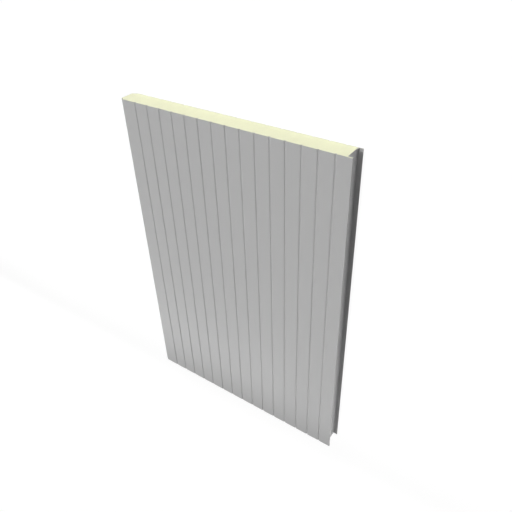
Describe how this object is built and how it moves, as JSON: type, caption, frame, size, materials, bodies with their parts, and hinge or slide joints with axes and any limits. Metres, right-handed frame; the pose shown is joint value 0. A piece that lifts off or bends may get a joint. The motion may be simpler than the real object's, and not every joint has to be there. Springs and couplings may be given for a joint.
{
  "type": "insulated sandwich panel",
  "caption": "Flat insulated wall panel: foam core between two steel facings with narrow lengthwise grooves, tongue on one long edge and matching groove on the other.",
  "frame": {"origin": "middle of the bounding box of the underside (the inner facing, on the floor)", "axes": "+X across the cover width towards the groove edge, +Y along the length, +Z out of the weather face"},
  "size_m": [1.0126, 1.465, 0.08],
  "materials": {
    "coated_steel": "light neutral grey polyester coil coating, satin, fine even grain",
    "foam": "rigid polyisocyanurate foam, pale cream yellow, sawn, dull, fine closed cells",
    "edge_foil": "grey lacquered foil laminate, dull"
  },
  "bodies": {
    "root": {"outer_facing": "coated_steel", "inner_facing": "coated_steel", "foam_core": "foam", "groove_side_film": "edge_foil", "tongue_side_film": "edge_foil"}
  },
  "joints": []
}
